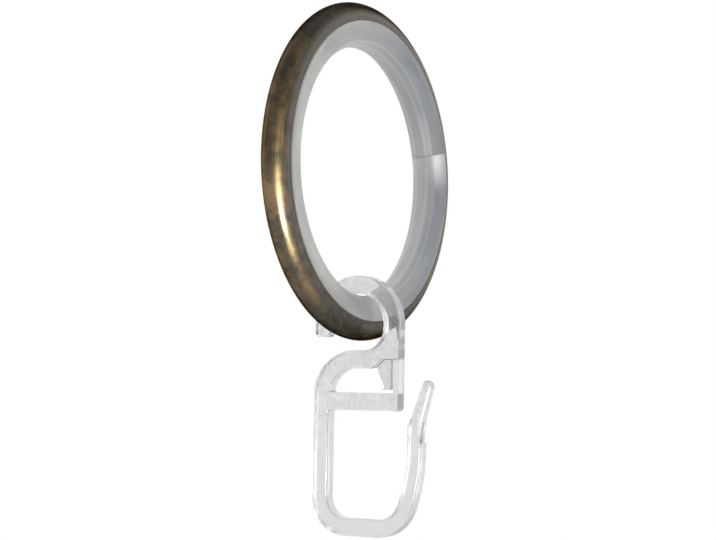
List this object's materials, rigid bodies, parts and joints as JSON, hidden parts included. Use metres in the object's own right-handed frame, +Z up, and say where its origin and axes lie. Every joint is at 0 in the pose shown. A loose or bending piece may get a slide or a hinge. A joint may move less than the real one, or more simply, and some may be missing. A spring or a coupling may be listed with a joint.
{
  "type": "curtain ring with hook",
  "caption": "Half-round brass curtain ring with a plastic glide inlay and a clear moulded pleat hook that hangs and swings on it.",
  "frame": {"origin": "centre of the ring, on the axis of its bore", "axes": "+X along the ring's bore and the rod, towards the hook's open side; +Z up, with the hook hanging below the ring"},
  "size_m": [0.0154, 0.038, 0.0598],
  "materials": {
    "antique_brass": "dark patina, half polished",
    "inlay_plastic": "milky translucent, smooth",
    "clear_plastic": "clear, polished"
  },
  "bodies": {
    "ring": {"metal_ring": "antique_brass", "glide_inlay": "inlay_plastic"},
    "hook": {"pleat_hook": "clear_plastic"}
  },
  "joints": [
    {"name": "hook_swing", "type": "hinge", "parent": "ring", "child": "hook", "pos_m": [0, 0, -0.0172], "axis": [0, 1, 0], "range_deg": [-90, 90]}
  ]
}
